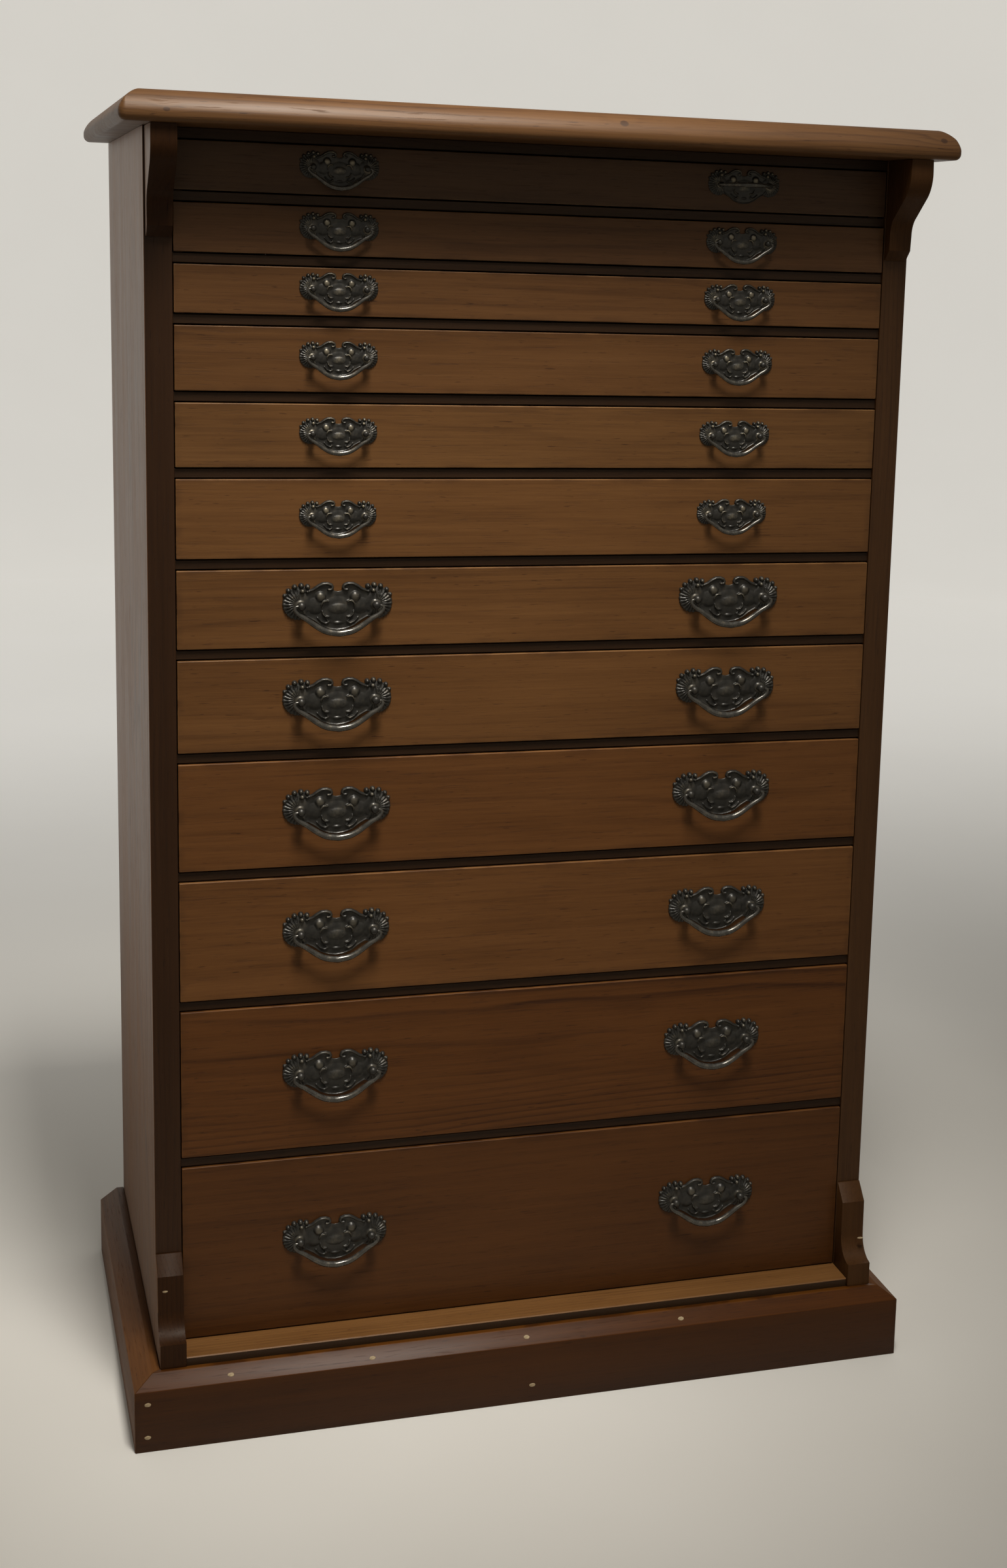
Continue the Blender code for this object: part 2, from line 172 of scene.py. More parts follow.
class Shader:
    """Short names for building one material's node tree."""

    def __init__(self, name):
        self.material = bpy.data.materials.new(name)
        self.material.use_nodes = True
        self.tree = self.material.node_tree
        self.principled = self.tree.nodes["Principled BSDF"]

    def node(self, kind, **settings):
        made = self.tree.nodes.new("ShaderNode" + kind)
        for key, value in settings.items():
            setattr(made, key, value)
        return made

    def put(self, socket, value):
        """Link a socket, or set a constant on it."""
        if isinstance(value, bpy.types.NodeSocket):
            self.tree.links.new(value, socket)
        else:
            socket.default_value = value

    def math(self, operation, a, b=0.0, clamp=False):
        made = self.node("Math", operation=operation, use_clamp=clamp)
        self.put(made.inputs[0], a)
        self.put(made.inputs[1], b)
        return made.outputs[0]

    def remap(self, value, low, high, to_low=0.0, to_high=1.0):
        made = self.node("MapRange", interpolation_type="SMOOTHSTEP")
        for socket, item in zip(made.inputs, (value, low, high, to_low, to_high)):
            self.put(socket, item)
        return made.outputs[0]

    def scaled(self, vector, scale, offset=(0.0, 0.0, 0.0)):
        made = self.node("Mapping")
        self.put(made.inputs["Vector"], vector)
        self.put(made.inputs["Scale"], scale)
        self.put(made.inputs["Location"], offset)
        return made.outputs[0]

    def noise(self, vector, scale=1.0, detail=2.0, roughness=0.5):
        made = self.node("TexNoise")
        self.put(made.inputs["Vector"], vector)
        self.put(made.inputs["Scale"], scale)
        self.put(made.inputs["Detail"], detail)
        self.put(made.inputs["Roughness"], roughness)
        return made.outputs["Fac"]

    def ramp(self, value, stops):
        made = self.node("ValToRGB")
        elements = made.color_ramp.elements
        while len(elements) < len(stops):
            elements.new(0.5)
        for element, (position, colour) in zip(elements, stops):
            element.position = position
            element.color = colour if len(colour) == 4 else (*colour, 1.0)
        self.put(made.inputs[0], value)
        return made.outputs[0]

    def mix(self, factor, a, b, blend="MIX"):
        made = self.node("Mix", data_type="RGBA", blend_type=blend)
        self.put(made.inputs[0], factor)
        for socket, value in ((made.inputs[6], a), (made.inputs[7], b)):
            self.put(socket, (*value, 1.0) if isinstance(value, tuple) and len(value) == 3 else value)
        return made.outputs[2]

    def bump(self, height, strength, distance):
        made = self.node("Bump")
        self.put(made.inputs["Strength"], strength)
        self.put(made.inputs["Distance"], distance)
        self.put(made.inputs["Height"], height)
        self.put(self.principled.inputs["Normal"], made.outputs[0])


def grey(value):
    return (value, value, value)


# ---------------------------------------------------------------- wood

PINE_LIGHT = (0.150, 0.070, 0.024)
PINE_MID = (0.100, 0.0445, 0.0148)
PINE_DARK = (0.036, 0.0140, 0.0052)
KNOT = (0.035, 0.014, 0.006)
SHADE_BELOW_EDGE = (0.012, 0.006, 0.003)
LOW_SHADE_COLOUR = (0.024, 0.010, 0.003)
EDGE_GRIME = (0.050, 0.022, 0.009)
PALE_WEAR_AND_HIGHLIGHT = (0.20, 0.105, 0.042)
WAX_TINT = (1.0, 0.88, 0.76, 1.0)
WAX_ROUGHNESS = 0.36


def toned(colour, tone):
    return tuple(channel * t for channel, t in zip(colour, tone))


def wood_axes(s, grain, seed):
    """The object's (x, y, z), the same as (along, across, deep) to the grain, and the place in the log."""
    split = s.node("SeparateXYZ")
    s.put(split.inputs[0], s.node("TexCoord").outputs["Object"])
    x, y, z = split.outputs
    order = {"X": (x, z, y), "Z": (z, x, y), "Y": (y, z, x)}[grain]
    joined = s.node("CombineXYZ")
    for socket, value in zip(joined.inputs, order):
        s.put(socket, value)
    place = s.node("VectorMath", operation="ADD")
    s.put(place.inputs[0], joined.outputs[0])
    place.inputs[1].default_value = (seed * 3.17, seed * 0.731, seed * 0.411)
    return (x, y, z), order, place.outputs[0]


def growth_rings(s, order, p, seed, centre, knots, rings):
    """Where the dark late wood lies, 0 to 1: rings about a wavering pith, bent outwards round the knots."""
    along, across, deep = order
    wobble = s.math("SUBTRACT", s.noise(s.scaled(p, (1.3, 5.0, 5.0)), 1.0, 2.0), 0.5)
    ripple = s.math("SUBTRACT", s.noise(s.scaled(p, (5.0, 30.0, 30.0)), 1.0, 1.0), 0.5)
    pith_across = 0.05 * math.sin(seed * 2.3)
    pith_deep = 0.055 + 0.02 * math.cos(seed * 1.7)
    wide = s.math("ADD", s.math("SUBTRACT", across, centre + pith_across), s.math("MULTIPLY", wobble, 0.075))
    for knot_along, knot_across, radius in knots:
        near = knot_distance(s, along, across, knot_along, knot_across, 3.5, radius * 4.0)
        wide = s.math("ADD", wide, s.math("MULTIPLY", s.remap(near, 0.0, 1.0, 1.0, 0.0), radius * 1.6))
    depth = s.math("ADD", s.math("ADD", deep, pith_deep), s.math("MULTIPLY", ripple, 0.012))
    squares = s.math("ADD", s.math("MULTIPLY", wide, wide), s.math("MULTIPLY", depth, depth))
    radius_field = s.math("MULTIPLY", s.math("SQRT", squares), rings)
    ring = s.math("FRACT", s.math("ADD", radius_field, s.math("MULTIPLY", ripple, 1.1)))
    band = s.ramp(ring, [(0.0, grey(0.0)), (0.55, grey(0.18)), (0.86, grey(1.0)), (0.95, grey(0.45)),
                         (1.0, grey(0.0))])
    strength = s.noise(s.scaled(p, (2.0, 14.0, 14.0)), 1.0, 2.0)
    return s.math("MULTIPLY", band, s.remap(strength, 0.35, 0.65, 0.25, 1.0))


def pine(name, grain, seed, tone=(1.0, 1.0, 1.0), figure=0.30, rings=190.0, roughness=0.50, specular=0.25,
         coat=0.0, centre=0.0, edges=None, knots=(), darkening=None, low_shade=0.0):
    """Old waxed pine. grain is the axis its fibres follow, and seed picks the place in the log.

    rings is how many growth rings there are in a metre, and centre is the board's middle across the grain.
    edges is the board's (low, high) box: its rim is then painted pale, as wear and as a painted highlight,
    and its corners are grimy.
    knots are (along, across, radius) on the board's broad face. darkening is (height, strength): below that
    height the board is painted darker, as painted shade on a face under a lit top edge. low_shade is how much
    painted shade darkens the wood from 0.6 m down to the floor, where it is also made rougher.
    """
    s = Shader(name)
    axes, order, p = wood_axes(s, grain, seed)
    along, across, _ = order
    z = axes[2]
    band = growth_rings(s, order, p, seed, centre, knots, rings)

    fibre = s.noise(s.scaled(p, (9.0, 420.0, 420.0)), 1.0, 5.0, 0.72)
    pores = s.remap(s.noise(s.scaled(p, (34.0, 620.0, 620.0)), 1.0, 2.0), 0.60, 0.70)
    dashes = s.remap(s.noise(s.scaled(p, (60.0, 480.0, 480.0), (3.0, 5.0, 7.0)), 1.0, 1.0), 0.70, 0.78)
    streak = s.noise(s.scaled(p, (2.2, 48.0, 48.0)), 1.0, 4.0, 0.60)
    cloud = s.noise(s.scaled(p, (4.0, 9.0, 9.0)), 1.0, 4.0, 0.6)

    value = s.math("ADD", 0.55, s.math("MULTIPLY", s.math("SUBTRACT", fibre, 0.5), 0.70))
    value = s.math("ADD", value, s.math("MULTIPLY", s.math("SUBTRACT", streak, 0.5), 0.50))
    value = s.math("ADD", value, s.math("MULTIPLY", s.math("SUBTRACT", cloud, 0.5), 0.50))
    value = s.math("SUBTRACT", value, s.math("MULTIPLY", band, figure))
    value = s.math("SUBTRACT", value, s.math("MULTIPLY", pores, 0.14))
    value = s.math("SUBTRACT", value, s.math("MULTIPLY", dashes, 0.32), clamp=True)
    colour = s.ramp(value, [(0.0, toned(PINE_DARK, tone)), (0.5, toned(PINE_MID, tone)),
                            (1.0, toned(PINE_LIGHT, tone))])
    for knot_along, knot_across, radius in knots:
        near = knot_distance(s, along, across, knot_along, knot_across, 1.5, radius)
        colour = s.mix(s.remap(near, 0.75, 1.15, 0.85, 0.0), colour, toned(KNOT, tone))
    if edges:
        colour = edge_grime_wear_and_highlight(s, colour, axes, edges, p, tone)
    if darkening:
        # Painted shade: below this height the board is painted nearly black, on the face under a lit top
        # edge.
        level, strength = darkening
        colour = s.mix(s.remap(z, level - 1.0 * MM, level, strength, 0.0), colour, SHADE_BELOW_EDGE)
    dull = s.math("ADD", roughness - 0.19, s.math("MULTIPLY", cloud, 0.14))
    dull = s.math("ADD", dull, s.math("MULTIPLY", streak, 0.20))
    if low_shade:
        # Painted shade: the wood is painted darker from 0.6 m down to the floor, and made rougher there.
        colour = s.mix(s.remap(z, 0.0, 0.60, low_shade, 0.0), colour, LOW_SHADE_COLOUR)
        dull = s.math("ADD", dull, s.remap(z, 0.05, 0.60, 0.36, 0.0))
    s.put(s.principled.inputs["Base Color"], colour)
    s.put(s.principled.inputs["Roughness"], s.math("ADD", dull, s.math("MULTIPLY", pores, 0.15)))
    s.principled.inputs["Specular IOR Level"].default_value = specular
    s.principled.inputs["Specular Tint"].default_value = WAX_TINT
    s.principled.inputs["Coat Weight"].default_value = coat
    s.principled.inputs["Coat Roughness"].default_value = WAX_ROUGHNESS
    height = s.math("ADD", s.math("MULTIPLY", fibre, 0.5), s.math("MULTIPLY", band, 0.35))
    height = s.math("SUBTRACT", height, s.math("MULTIPLY", pores, 0.5))
    s.bump(height, 0.30, 0.25 * MM)
    return s.material


def knot_distance(s, along, across, knot_along, knot_across, stretch, radius):
    """Distance from a knot, in its own radii, stretched along the grain."""
    run = s.math("DIVIDE", s.math("SUBTRACT", along, knot_along), radius * stretch)
    rise = s.math("DIVIDE", s.math("SUBTRACT", across, knot_across), radius)
    return s.math("SQRT", s.math("ADD", s.math("MULTIPLY", run, run), s.math("MULTIPLY", rise, rise)))


def edge_grime_wear_and_highlight(s, colour, axes, edges, p, tone):
    """Grime a few millimetres in from a board's edges, and pale wear with a painted highlight on the arris
    itself.
    """
    low, high = edges
    nearest = None
    for axis in range(3):
        if high[axis] - low[axis] < 24 * MM:
            continue
        for bound, sign in ((low[axis], 1.0), (high[axis], -1.0)):
            gap = s.math("MULTIPLY", s.math("SUBTRACT", axes[axis], bound), sign)
            nearest = gap if nearest is None else s.math("MINIMUM", nearest, gap)
    uneven = s.noise(s.scaled(p, (24.0, 60.0, 60.0)), 1.0, 3.0)
    darkening = s.math("MULTIPLY", s.remap(nearest, 1.0 * MM, 9.0 * MM, 1.0, 0.0), s.remap(uneven, 0.35, 0.7))
    colour = s.mix(s.math("MULTIPLY", darkening, 0.45), colour, toned(EDGE_GRIME, tone))
    # Pale wear and painted highlight along the arris, from 0.2 to 1.2 mm in from the edge.
    rub_and_highlight = s.math("MULTIPLY", s.remap(nearest, 0.2 * MM, 1.2 * MM, 1.0, 0.0), s.remap(uneven, 0.62, 0.46))
    return s.mix(s.math("MULTIPLY", rub_and_highlight, 0.5), colour, toned(PALE_WEAR_AND_HIGHLIGHT, tone))


# ---------------------------------------------------------------- metal

BRONZE_SHADES = [(0.25, (0.022, 0.020, 0.017)), (0.55, (0.038, 0.035, 0.029)), (0.8, (0.068, 0.055, 0.038))]
RUBBED_BRASS = (0.26, 0.22, 0.15)


def bronze_material(name, worn, gloss=0.0, bright=1.0):
    """Cast brass gone nearly black, rubbed bright where it stands proud. bright scales its bare colour."""
    s = Shader(name)
    coordinates = s.node("TexCoord").outputs["Object"]
    split = s.node("SeparateXYZ")
    s.put(split.inputs[0], coordinates)
    out = s.math("MULTIPLY", split.outputs[1], -1.0)
    grain = s.noise(coordinates, 900.0, 4.0, 0.6)
    patch = s.noise(coordinates, 160.0, 3.0, 0.6)
    proud = s.remap(s.math("ADD", out, s.math("MULTIPLY", patch, 3.0 * MM)), 4.8 * MM, 7.0 * MM)
    proud = s.math("MULTIPLY", proud, s.remap(out, 6.2 * MM, 7.2 * MM, 1.0, 0.0))
    colour = s.ramp(patch, [(place, toned(shade, grey(bright))) for place, shade in BRONZE_SHADES])
    colour = s.mix(s.math("MULTIPLY", proud, worn), colour, RUBBED_BRASS)
    s.put(s.principled.inputs["Base Color"], colour)
    s.principled.inputs["Metallic"].default_value = 0.6
    s.put(s.principled.inputs["Roughness"], s.remap(patch, 0.2, 0.8, 0.33 - gloss, 0.48 - gloss))
    s.bump(grain, 0.25, 0.12 * MM)
    return s.material


# ---------------------------------------------------------------- handles

def unit_sphere(segments):
    """Points and faces of a sphere, its poles on Y."""
    rings = segments // 2
    points = [(0.0, -1.0, 0.0)]
    for i in range(1, rings):
        tilt = math.pi * i / rings
        for k in range(segments):
            turn = 2 * math.pi * k / segments
            points.append((math.sin(tilt) * math.cos(turn), -math.cos(tilt), math.sin(tilt) * math.sin(turn)))
    points.append((0.0, 1.0, 0.0))
    last = len(points) - 1
    faces = []
    for k in range(segments):
        after = (k + 1) % segments
        faces.append((0, 1 + k, 1 + after))
        faces.append((last, last - segments + after, last - segments + k))
        for i in range(rings - 2):
            row = 1 + i * segments
            faces.append((row + k, row + segments + k, row + segments + after, row + after))
    return np.array(points), faces


SPHERES = {segments: unit_sphere(segments) for segments in (10, 20)}


class Relief:
    """Overlapping round forms on a flat back, in millimetres, which are fused when remeshed."""

    def __init__(self):
        self.points = []
        self.faces = []

    def add(self, points, faces):
        offset = len(self.points)
        self.points.extend(map(tuple, points))
        self.faces.extend(tuple(offset + i for i in face) for face in faces)

    def ball(self, centre, radii, segments=20):
        points, faces = SPHERES[segments]
        self.add(points * np.array(radii) + np.array(centre), faces)

    def dome(self, x, z, radius, height, segments=20):
        self.ball((x, 0.0, z), (radius, height, radius), segments)

    def rope(self, points):
        """A rounded ridge along (x, z, radius, height)."""
        for start, stop in zip(points, points[1:]):
            length = math.hypot(stop[0] - start[0], stop[1] - start[1])
            steps = max(2, int(length / (0.4 * min(start[2], stop[2]))))
            for i in range(steps):
                x, z, radius, height = (a + (b - a) * i / steps for a, b in zip(start, stop))
                self.dome(x, z, radius, height, 10)
        self.dome(*points[-1], 10)

    def slab(self, outline, thickness):
        """A flat outline, as thick in front of the drawer's face as behind it."""
        count = len(outline)
        points = [(x, y, z) for y in (-thickness, thickness) for x, z in outline]
        faces = [tuple(range(count)), tuple(range(2 * count - 1, count - 1, -1))]
        faces += [(i, i + count, (i + 1) % count + count, (i + 1) % count) for i in range(count)]
        self.add(points, faces)

    def mesh(self, name):
        made = bpy.data.meshes.new(name)
        made.from_pydata([[c * MM for c in point] for point in self.points], [], self.faces)
        return made


# A back plate's right half, in millimetres from the pivot line's middle: its outline is across and up,
# and its ridges and beads are across, up, radius and height.
PLATE_HALF = [
    (0.0, 13.4), (3.2, 13.9), (5.6, 16.0), (8.5, 19.4), (12.0, 20.6), (17.0, 19.0), (22.0, 15.4),
    (26.5, 14.0),
    (30.0, 17.4), (37.0, 18.8), (46.0, 17.0), (53.0, 10.8), (55.6, 2.0), (53.4, -7.0), (48.0, -13.0),
    (41.0, -14.8), (35.0, -13.4), (30.0, -12.8), (23.0, -16.8), (16.0, -22.0), (8.0, -25.4), (0.0, -26.4),
]
SHELL_CENTRE = (39.5, 0.8)
BEADS = [(30.6, 18.4, 2.8, 4.6), (37.0, 19.5, 2.9, 4.8), (43.6, 18.3, 2.8, 4.6), (49.8, 14.6, 2.6, 4.2),
         (36.0, 14.0, 2.9, 6.2), (30.8, 13.4, 2.0, 4.0), (53.6, 9.6, 2.1, 3.4)]
SCROLL = [(28.6, 14.0, 1.7, 3.2), (24.5, 15.6, 1.8, 3.8), (20.0, 18.9, 1.9, 4.2), (15.4, 21.2, 1.9, 4.4),
          (10.4, 21.4, 1.9, 4.4), (6.6, 20.0, 1.8, 4.2), (5.3, 17.4, 1.7, 3.9), (6.9, 15.2, 1.7, 4.0),
          (9.4, 15.4, 1.8, 4.4)]
BRACKET_TOP = [(9.6, 3.4, 0.9, 5.2), (12.6, 4.2, 1.2, 5.6), (15.4, 3.0, 1.2, 5.4), (17.0, 0.4, 1.1, 5.0),
               (16.8, -2.2, 0.8, 4.4)]
BRACKET_LOW = [(9.4, -12.4, 1.1, 4.6), (12.8, -12.0, 1.2, 4.8), (15.2, -9.6, 1.1, 4.6),
               (15.8, -6.6, 0.8, 4.2)]
LEAF = [(20.5, -13.2, 1.0, 3.2), (16.8, -17.0, 1.2, 3.8), (12.6, -19.0, 1.5, 4.2), (9.2, -17.4, 1.2, 3.8),
        (10.8, -15.6, 1.0, 3.4)]
LOWER_RIM = [(35.0, -12.6, 0.9, 2.6), (30.0, -12.2, 0.9, 2.6), (23.0, -16.2, 0.9, 2.6),
             (16.0, -21.4, 0.9, 2.6), (8.0, -24.8, 0.9, 2.6), (0.0, -25.8, 0.9, 2.6)]
SPOKE = [(5.5, 1.0, 4.4), (10.0, 1.5, 4.5), (14.7, 2.0, 2.4)]    # out from the shell's centre, radius, height
SPOKES = 15
# A post, as overlapping balls: radius, half its depth, how far its middle is in front of the drawer
POST = [(6.0, 4.2, 1.6), (3.7, 4.5, 6.0), (4.4, 4.3, 11.0)]


def half_plate(relief, side):
    """The relief on one side of a back plate: shell, beads, scroll, boss, cartouche bracket, post."""
    cx, cz = SHELL_CENTRE
    for i in range(SPOKES):
        angle = math.radians(-122 + i * 15.0)
        across, up = side * math.cos(angle), math.sin(angle)
        relief.rope([(side * cx + r * across, cz + r * up, width, height) for r, width, height in SPOKE])
    relief.dome(side * cx, cz, 13.5, 3.9)
    for x, z, radius, height in BEADS:
        relief.dome(side * x, z, radius, height)
    for ridge in (SCROLL, BRACKET_TOP, BRACKET_LOW, LEAF, LOWER_RIM):
        relief.rope([(side * x, z, r, h) for x, z, r, h in ridge])
    relief.dome(side * 17.6, 8.0, 6.0, 5.4)
    relief.dome(side * 22.5, -1.0, 10.0, 3.4)
    for radius, depth, out in POST:
        relief.ball((side * POST_SPACING, -out, 0.0), (radius, depth, radius))


def plate_relief():
    relief = Relief()
    left = [(-x, z) for x, z in PLATE_HALF[-2:0:-1]]
    relief.slab(PLATE_HALF + left, 1.5)
    for side in (-1, 1):
        half_plate(relief, side)
    relief.ball((0.0, 0.0, -6.0), (20.0, 3.2, 17.0))
    relief.ball((0.0, 0.0, -4.2), (13.2, 4.6, 7.4))
    relief.ball((0.0, 0.0, -18.5), (5.6, 3.8, 2.2))
    return relief


def flatten_back(mesh):
    """Cut away what lies inside the drawer front, and keep the rest just in front of it."""
    bm = bmesh.new()
    bm.from_mesh(mesh)
    buried = [vert for vert in bm.verts if vert.co.y > 0.4 * MM]
    bmesh.ops.delete(bm, geom=buried, context="VERTS")
    for vert in bm.verts:
        vert.co.y = min(vert.co.y, -0.02 * MM)
    bm.to_mesh(mesh)
    bm.free()


def cast_plate_mesh():
    """One back plate with its two posts, fused and softened like a casting."""
    rough = new_object("plate_rough", plate_relief().mesh("plate_rough"))
    remesh = rough.modifiers.new("fuse", "REMESH")
    remesh.mode = "VOXEL"
    remesh.voxel_size = 0.40 * MM
    remesh.use_smooth_shade = True
    soften = rough.modifiers.new("soften", "SMOOTH")
    soften.factor = 0.5
    soften.iterations = 2
    thin = rough.modifiers.new("thin", "DECIMATE")
    thin.ratio = 0.16
    evaluated = rough.evaluated_get(bpy.context.evaluated_depsgraph_get())
    mesh = bpy.data.meshes.new_from_object(evaluated)
    bpy.data.objects.remove(rough)
    flatten_back(mesh)
    mesh.name = "cast_plate"
    mesh.shade_smooth()
    return mesh


# Half of a bail, from its end inside a post to its lowest point: across, down, radius
BAIL_HALF = [
    (35.2, 0.0, 1.2), (39.0, 0.0, 1.2), (42.0, 0.0, 1.25), (44.0, -0.7, 1.5), (44.8, -2.6, 1.7),
    (44.0, -5.4, 1.9), (40.4, -8.8, 2.2), (33.5, -13.0, 2.5), (22.5, -20.8, 2.9), (12.5, -26.0, 3.2),
    (0.0, -28.1, 3.4),
]


def smooth_path(points, per_span):
    """Catmull-Rom through points of any number of values."""
    rows = [np.array(p, float) for p in points]
    rows = [2 * rows[0] - rows[1]] + rows + [2 * rows[-1] - rows[-2]]
    made = []
    for i in range(1, len(rows) - 2):
        a, b, c, d = rows[i - 1:i + 3]
        for step in range(per_span):
            t = step / per_span
            made.append(0.5 * (2 * b + (c - a) * t + (2 * a - 5 * b + 4 * c - d) * t ** 2
                               + (3 * b - a - 3 * c + d) * t ** 3))
    made.append(rows[-2])
    return made


def bail_mesh():
    """A swan-neck bail, thick in the middle and drawn down to the ends that turn in the posts."""
    half = smooth_path([(-x, z, r) for x, z, r in BAIL_HALF], 4)
    path = half + [np.array((-x, z, r)) for x, z, r in half[-2::-1]]
    bm = bmesh.new()
    sides = 16
    rings = []
    for i, (x, z, radius) in enumerate(path):
        before, after = path[max(i - 1, 0)], path[min(i + 1, len(path) - 1)]
        direction = Vector((after[0] - before[0], 0.0, after[1] - before[1])).normalized()
        across = Vector((0.0, 1.0, 0.0))
        up = direction.cross(across)
        ring = []
        for k in range(sides):
            angle = 2 * math.pi * k / sides
            offset = across * math.cos(angle) * radius + up * math.sin(angle) * radius
            ring.append(bm.verts.new((Vector((x, 0.0, z)) + offset) * MM))
        rings.append(ring)
    for a, b in zip(rings, rings[1:]):
        for k in range(sides):
            bm.faces.new((a[k], a[(k + 1) % sides], b[(k + 1) % sides], b[k]))
    bm.faces.new(rings[0])
    bm.faces.new(rings[-1])
    mesh = mesh_from_bmesh("swan_neck_bail", bm)
    mesh.shade_smooth()
    return mesh


def handle_scale(number):
    return SMALL_SCALE if number in SMALL_HANDLE_DRAWERS else 1.0


def pivot_height(number):
    low, high = drawer_front_box(number)
    return (low.z + high.z) / 2 + PIVOT_RISE * handle_scale(number)


def cast_piece(name, mesh, material, place, scale):
    """One copy of a shared mesh, with a material of its own."""
    item = new_object(name, mesh)
    item.material_slots[0].link = "OBJECT"
    item.material_slots[0].material = material
    item.location = place
    item.scale = (scale, scale, scale)
    return item


def place_handles(plate_mesh, bail_shape, materials):
    for number in DRAWERS:
        scale = handle_scale(number)
        pivot_z = pivot_height(number)
        material = materials["small" if scale < 1 else "large"]
        for side_name, side in (("left", -1), ("right", 1)):
            label = f"{number:02d}_{side_name}"
            x = side * HANDLE_X
            plate = cast_piece("plate_" + label, plate_mesh, material, (x, CASE_FRONT, pivot_z), scale)
            finish_piece(plate, f"drawer_{number:02d}")
            pivot = (x, CASE_FRONT - PIVOT_OUT * scale, pivot_z)
            bail = cast_piece("swan_neck_" + label, bail_shape, materials["bail"], pivot, scale)
            if (number, side_name) == RAISED_BAIL:
                bail.rotation_euler = (-math.pi / 2, 0.0, 0.0)
            finish_piece(bail, f"bail_{label}", [f"bail_{label}"])


# ---------------------------------------------------------------- drawers

def drawer_front_box(number):
    """The wooden front board's corners, without the plates that the CAD node carries."""
    low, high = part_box(f"drawer_front_{number:02d}")
    return Vector((low.x, CASE_FRONT, low.z)), Vector((high.x, CASE_FRONT + FRONT_THICKNESS, high.z))


# Each drawer front's colour scale: partly its own board's tone, partly painted shade, darkest under the top
# board's overhang on drawers 1 and 2 and darker towards the floor on the lowest drawers.
DRAWER_TONE_AND_SHADE = {
    1: (0.50, 0.54, 0.70), 2: (0.74, 0.72, 0.75), 3: (0.97, 0.91, 0.82), 4: (0.90, 0.83, 0.70),
    5: (1.05, 1.02, 0.88), 6: (1.06, 0.99, 0.82), 7: (1.00, 0.93, 0.76), 8: (1.02, 0.94, 0.76),
    9: (0.92, 0.77, 0.55), 10: (0.99, 0.87, 0.67), 11: (0.74, 0.56, 0.32), 12: (0.60, 0.45, 0.25),
}
PLAIN_FIGURE = 0.16                       # how strongly the growth rings show on most fronts
FIGURE = {3: 0.24, 4: 0.22, 11: 0.42}     # and on the fronts where they show more


def make_drawers():
    for number in DRAWERS:
        low, high = drawer_front_box(number)
        name = f"front_board_{number:02d}"
        wood = pine(name, "X", number + 0.37, DRAWER_TONE_AND_SHADE[number], figure=FIGURE.get(number, PLAIN_FIGURE),
                    centre=(low.z + high.z) / 2, edges=(low, high))
        board(name, low, high, wood, f"drawer_{number:02d}", "drawer_pine", 0.9 * MM,
              [f"drawer_front_{number:02d}"])


def dovetail_levels(low_z, high_z):
    """Middle heights of the pins that join a drawer's side and back."""
    count = max(1, round((high_z - low_z) / (38 * MM)))
    pitch = (high_z - low_z) / (count + 0.6)
    return [low_z + pitch * (i + 0.8) for i in range(count)]


def side_outline(front, back, low_z, high_z, pins):
    """A drawer side, notched at its rear end for the back's pins, as (y, z)."""
    root = back - BOX_BACK
    points = [(front, high_z), (front, low_z), (back, low_z)]
    for z in pins:
        points += [(back, z - PIN_NARROW), (root, z - PIN_WIDE), (root, z + PIN_WIDE), (back, z + PIN_NARROW)]
    return points + [(back, high_z)]


def make_drawer_sides(number, low, high, pins, material):
    for name, side in (("left", -1), ("right", 1)):
        edges = sorted((side * high.x, side * (high.x - BOX_SIDE)))
        bm = bmesh.new()
        add_prism(bm, side_outline(low.y, high.y, low.z, high.z, pins), *edges)
        item = new_object(f"drawer_side_{number:02d}_{name}", mesh_from_bmesh("drawer_side", bm), material)
        replaces = [f"drawer_box_{number:02d}"] if side < 0 else []
        finish_piece(item, f"drawer_{number:02d}", replaces)


def make_drawer_back(number, low, high, pins, material):
    """The back, with a pin at each level that fills the notches in both sides."""
    inner = high.x - BOX_SIDE - SEAM
    bm = bmesh.new()
    add_box(bm, (-inner, high.y - BOX_BACK, low.z + BOX_RISE + BOX_BOTTOM), (inner, high.y - SEAM, high.z))
    for z in pins:
        front, back = high.y - BOX_BACK + SEAM, high.y - PIN_INSET
        wide, narrow = PIN_WIDE - SEAM, PIN_NARROW - SEAM
        outline = [(front, z - wide), (back, z - narrow), (back, z + narrow), (front, z + wide)]
        for side in (-1, 1):
            add_prism(bm, outline, *sorted((side * (inner - 1 * MM), side * (high.x - PIN_INSET))))
    item = new_object(f"drawer_back_{number:02d}", mesh_from_bmesh("drawer_back", bm), material)
    finish_piece(item, f"drawer_{number:02d}")


def make_drawer_box(number, materials):
    """Two sides dovetailed to a back, and a thin bottom let into them."""
    low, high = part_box(f"drawer_box_{number:02d}")
    pins = dovetail_levels(low.z, high.z)
    make_drawer_sides(number, low, high, pins, materials["side"])
    make_drawer_back(number, low, high, pins, materials["back"])
    inner = high.x - BOX_SIDE - SEAM
    board(f"drawer_bottom_{number:02d}", (-inner, low.y, low.z + BOX_RISE),
          (inner, high.y - SEAM, low.z + BOX_RISE + BOX_BOTTOM - SEAM), materials["bottom"],
          f"drawer_{number:02d}", "tray_pine", 0.3 * MM)


